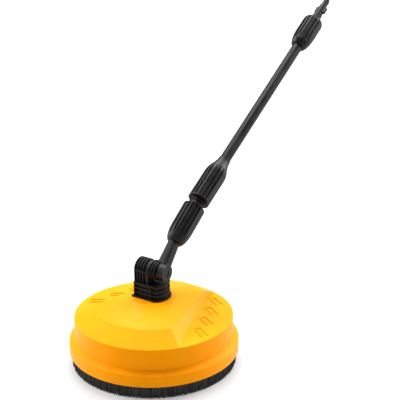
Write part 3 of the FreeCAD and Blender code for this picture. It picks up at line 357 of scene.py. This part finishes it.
def choose(piece):
    """Make a piece the only one that is selected, and active."""
    bpy.ops.object.select_all(action="DESELECT")
    piece.select_set(True)
    bpy.context.view_layer.objects.active = piece
    return piece


def smooth_copy(node, name, radius, segments=2, limit=EDGE_ANGLE):
    """A finished copy of a CAD node: merged, flats cleaned, moulded edges rounded."""
    piece = bpy.data.objects.new(name, frame["nodes"][node].data.copy())
    bpy.context.scene.collection.objects.link(piece)
    choose(piece)
    bpy.ops.object.mode_set(mode="EDIT")
    bpy.ops.mesh.select_all(action="SELECT")
    bpy.ops.mesh.remove_doubles(threshold=MERGE_DISTANCE)
    bpy.ops.mesh.dissolve_limited(angle_limit=FLAT_ANGLE)
    bpy.ops.object.mode_set(mode="OBJECT")
    bpy.ops.mesh.customdata_custom_splitnormals_clear()
    rounding = piece.modifiers.new("rounding", "BEVEL")
    rounding.width = radius
    rounding.segments = segments
    rounding.limit_method = "ANGLE"
    rounding.angle_limit = limit
    rounding.use_clamp_overlap = True
    bpy.ops.object.modifier_apply(modifier=rounding.name)
    bpy.ops.object.shade_smooth_by_angle(angle=CREASE_ANGLE)
    weighting = piece.modifiers.new("weighting", "WEIGHTED_NORMAL")
    weighting.keep_sharp = True
    weighting.weight = FACE_AREA_WEIGHT
    bpy.ops.object.modifier_apply(modifier=weighting.name)
    paint(piece, slot_of(node))
    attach(piece, body_of(node))
    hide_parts(node)
    return piece


# ---------------------------------------------------------------- operators
class CLEANER_OT_deck(bpy.types.Operator):
    """Finish the moulded deck with rounded edges"""

    bl_idname = "cleaner.deck"
    bl_label = "Finish Deck"

    def execute(self, context):
        smooth_copy("deck_shell", "deck", context.scene.cleaner_deck.edge_radius,
                    segments=DECK_EDGE_SEGMENTS, limit=DECK_EDGE_ANGLE)
        return {"FINISHED"}


class CLEANER_OT_brush(bpy.types.Operator):
    """Build the brush's tufts of bristles"""

    bl_idname = "cleaner.brush"
    bl_label = "Build Brush"

    def execute(self, context):
        settings = context.scene.cleaner_brush
        low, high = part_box("brush_bristles")
        outer = high.x
        draw = random.Random(BRUSH_SEED)
        sector = math.tau / settings.sectors
        made = []
        for row in range(settings.rows):
            radius = outer - BRUSH_WIDTH * (row + 0.5) / settings.rows
            for tuft in range(settings.tufts):
                angle = sector * (tuft + 0.5 * (row % 2)) / settings.tufts
                made += self.tuft(settings, radius, angle, low.z, high.z, draw)
        choose(made[0])
        for bristle in made:
            bristle.select_set(True)
        bpy.ops.object.join()
        piece = context.view_layer.objects.active
        piece.name = "brush_tufts"
        bpy.ops.object.transform_apply(location=True, rotation=True, scale=True)
        bpy.ops.object.empty_add(location=(0, 0, 0), rotation=(0, 0, sector))
        guide = context.active_object
        choose(piece)
        ring = piece.modifiers.new("ring", "ARRAY")
        ring.count = settings.sectors
        ring.use_relative_offset = False
        ring.use_object_offset = True
        ring.offset_object = guide
        bpy.ops.object.modifier_apply(modifier=ring.name)
        bpy.data.objects.remove(guide)
        bpy.ops.object.shade_smooth_by_angle(angle=BRISTLE_CREASE_ANGLE)
        paint(piece, "bristle")
        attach(piece, "root")
        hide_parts("brush_bristles")
        return {"FINISHED"}

    def scatter(self, draw, share):
        """A level step of random size and direction."""
        return Vector((draw.gauss(0, share), draw.gauss(0, share), 0))

    def tuft(self, settings, radius, angle, low, high, draw):
        """The bristles of one tuft, each a slim three-sided cone that ends near the floor."""
        made = []
        root = Vector((radius * math.cos(angle), radius * math.sin(angle), high))
        spread = self.scatter(draw, TUFT_LEAN) * settings.splay
        for _ in range(settings.bristles):
            place = Vector((draw.uniform(-1, 1), draw.uniform(-1, 1), 0))
            start = root + place * TUFT_HALF_WIDTH
            stray = self.scatter(draw, BRISTLE_STRAY) * settings.splay
            tip = start + spread + stray
            tip.z = low + abs(draw.gauss(0, TIP_RAGGEDNESS)) * MM
            reach = tip.xy.length
            limit = radius + OUTER_SPREAD
            if reach > limit:
                tip.xy *= limit / reach
            line = tip - start
            bpy.ops.mesh.primitive_cone_add(
                vertices=BRISTLE_SIDES, radius1=settings.thickness / 2, radius2=settings.thickness / 3,
                depth=line.length, end_fill_type="NGON", location=(start + tip) / 2,
                rotation=line.to_track_quat("Z", "Y").to_euler())
            made.append(bpy.context.active_object)
        return made


class CLEANER_OT_mouldings(bpy.types.Operator):
    """Finish the black mouldings of the joint, the arm and the lance"""

    bl_idname = "cleaner.mouldings"
    bl_label = "Finish Mouldings"

    def execute(self, context):
        radius = context.scene.cleaner_plastic.edge_radius
        for node in ("swivel_base", "elbow_arm", "barrel_cap", "coupling_neck", "lance_collar",
                     "lance_grip", "grip_end_ring", "inlet_nipple", "brush_ring", "rotor_hub",
                     "hub_cap", "clamp_nut"):
            smooth_copy(node, node + "_moulding", radius)
        return {"FINISHED"}


class CLEANER_OT_metals(bpy.types.Operator):
    """Finish the pieces that keep their plain shape"""

    bl_idname = "cleaner.metals"
    bl_label = "Finish Metals and Seals"

    def execute(self, context):
        for name, node in frame["nodes"].items():
            paint(node, slot_of(name))
        return {"FINISHED"}


class CLEANER_OT_stage(bpy.types.Operator):
    """Set the floor, the lights and the camera"""

    bl_idname = "cleaner.stage"
    bl_label = "Set Stage"

    def execute(self, context):
        self.floor()
        self.camera(context.scene.cleaner_stage)
        self.lights(context.scene.cleaner_stage)
        return {"FINISHED"}

    def floor(self):
        """A plain pale floor that runs past the view on every side."""
        bpy.ops.mesh.primitive_plane_add(size=FLOOR_SIZE, location=(0, 0, -FLOOR_DROP))
        floor = bpy.context.active_object
        floor.name = "floor"
        material, nodes, links, shader = new_material(
            "floor_white", (FLOOR_GREY,) * 3, roughness=0.8)
        cloud = noise(nodes, links, scale=3, detail=2)
        links.new(two_colours(nodes, links, cloud, (FLOOR_LIGHT,) * 3, (FLOOR_DARK,) * 3),
                  shader.inputs["Base Color"])
        shader.inputs["Specular IOR Level"].default_value = 0.1
        shader.inputs["Emission Color"].default_value = (1, 1, 1, 1)
        shader.inputs["Emission Strength"].default_value = FLOOR_GLOW
        floor.data.materials.append(material)

    def camera(self, settings):
        """Put the camera at its place and make it the scene's own."""
        back = Vector((math.sin(settings.azimuth), -math.cos(settings.azimuth), 0))
        spot = back * settings.distance + Vector((0, 0, settings.height))
        turn = Matrix.Rotation(settings.azimuth - settings.yaw, 4, "Z")
        tilt = Matrix.Rotation(QUARTER_TURN - settings.pitch, 4, "X")
        roll = Matrix.Rotation(-settings.roll, 4, "Z")
        bpy.ops.object.camera_add()
        camera = bpy.context.active_object
        camera.matrix_world = Matrix.Translation(spot) @ turn @ tilt @ roll
        camera.data.lens = settings.lens
        camera.data.sensor_width = SENSOR_WIDTH
        camera.data.clip_end = CLIP_END
        bpy.context.scene.camera = camera

    def lights(self, settings):
        """Broad soft lamps at both sides and above, all a little behind the object."""
        right = Vector((math.cos(settings.azimuth), math.sin(settings.azimuth), 0))
        away = Vector((-math.sin(settings.azimuth), math.cos(settings.azimuth), 0))
        up = Vector((0, 0, 1))
        # each lamp's name, direction, angular size in degrees and strength
        rows = [("right_box", right * 0.9 + away * 0.42 + up * 0.5, 40, 3.3),
                ("left_box", -right * 0.9 + away * 0.3 + up * 0.45, 40, 3.3),
                ("top_box", away * 0.5 + up * 1.0, 50, 4.1)]
        for name, way, angle, power in rows:
            bpy.ops.object.light_add(type="SUN", location=way)
            lamp = bpy.context.active_object
            lamp.name = name
            lamp.data.angle = math.radians(angle)
            lamp.data.energy = power
            lamp.rotation_euler = (-way).to_track_quat("-Z", "Y").to_euler()
        world = bpy.data.worlds.new("studio")
        bpy.context.scene.world = world
        world.use_nodes = True
        sky = world.node_tree.nodes["Background"]
        sky.inputs["Color"].default_value = (1, 1, 1, 1)
        sky.inputs["Strength"].default_value = SKY_STRENGTH
        bpy.context.scene.view_settings.view_transform = "Standard"


# ---------------------------------------------------------------- panel and registration
class CLEANER_PT_panel(bpy.types.Panel):
    """Sidebar panel with the cleaner's operators"""

    bl_label = "Surface Cleaner"
    bl_idname = "CLEANER_PT_panel"
    bl_space_type = "VIEW_3D"
    bl_region_type = "UI"
    bl_category = "Cleaner"

    def draw(self, context):
        for operator in STEPS:
            self.layout.operator(operator.bl_idname)


STEPS = (CLEANER_OT_metals, CLEANER_OT_deck, CLEANER_OT_brush, CLEANER_OT_mouldings,
         CLEANER_OT_stage)
SETTINGS = {"cleaner_deck": CleanerDeckSettings, "cleaner_brush": CleanerBrushSettings,
            "cleaner_plastic": CleanerPlasticSettings, "cleaner_stage": CleanerStageSettings}


def register():
    for group in SETTINGS.values():
        bpy.utils.register_class(group)
    for name, group in SETTINGS.items():
        setattr(bpy.types.Scene, name, bpy.props.PointerProperty(type=group))
    for operator in STEPS:
        bpy.utils.register_class(operator)
    bpy.utils.register_class(CLEANER_PT_panel)


def unregister():
    bpy.utils.unregister_class(CLEANER_PT_panel)
    for operator in reversed(STEPS):
        bpy.utils.unregister_class(operator)
    for name, group in SETTINGS.items():
        delattr(bpy.types.Scene, name)
        bpy.utils.unregister_class(group)


def main():
    register()
    bpy.ops.cleaner.metals()
    bpy.ops.cleaner.deck()
    bpy.ops.cleaner.brush()
    bpy.ops.cleaner.mouldings()
    bpy.ops.cleaner.stage()


if __name__ == "__main__":
    main()
